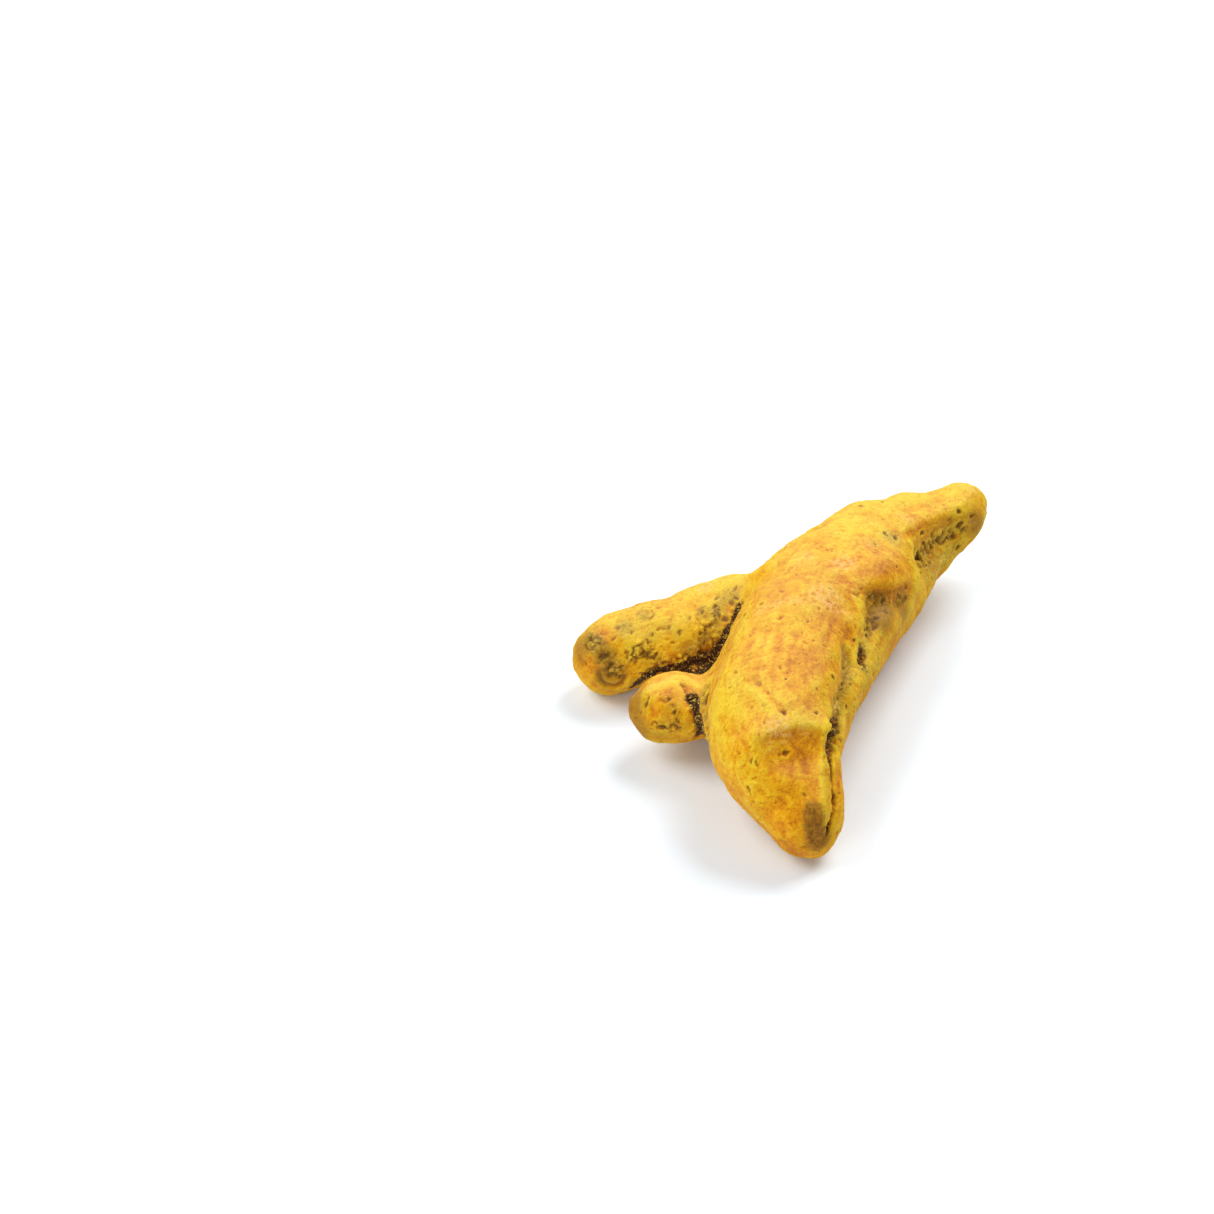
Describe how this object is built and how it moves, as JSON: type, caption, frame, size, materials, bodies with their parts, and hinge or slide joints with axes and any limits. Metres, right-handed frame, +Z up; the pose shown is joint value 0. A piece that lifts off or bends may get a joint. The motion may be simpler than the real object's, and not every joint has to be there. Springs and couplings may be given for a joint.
{
  "type": "turmeric rhizome",
  "caption": "Dried turmeric rhizome: a thick bent main piece with a slimmer finger and a short bud grown out of its side, ridged, pitted and split.",
  "frame": {"origin": "on the surface that the rhizome lies on, in the middle of its length and its width", "axes": "+Y along the length of the main piece, from its blunt front tip to its raised tip; +X to the side away from the finger; +Z up"},
  "size_m": [0.0488, 0.0568, 0.0181],
  "materials": {
    "dried_skin": "matte, powdery"
  },
  "bodies": {
    "root": {"rhizome": "dried_skin"}
  },
  "joints": []
}
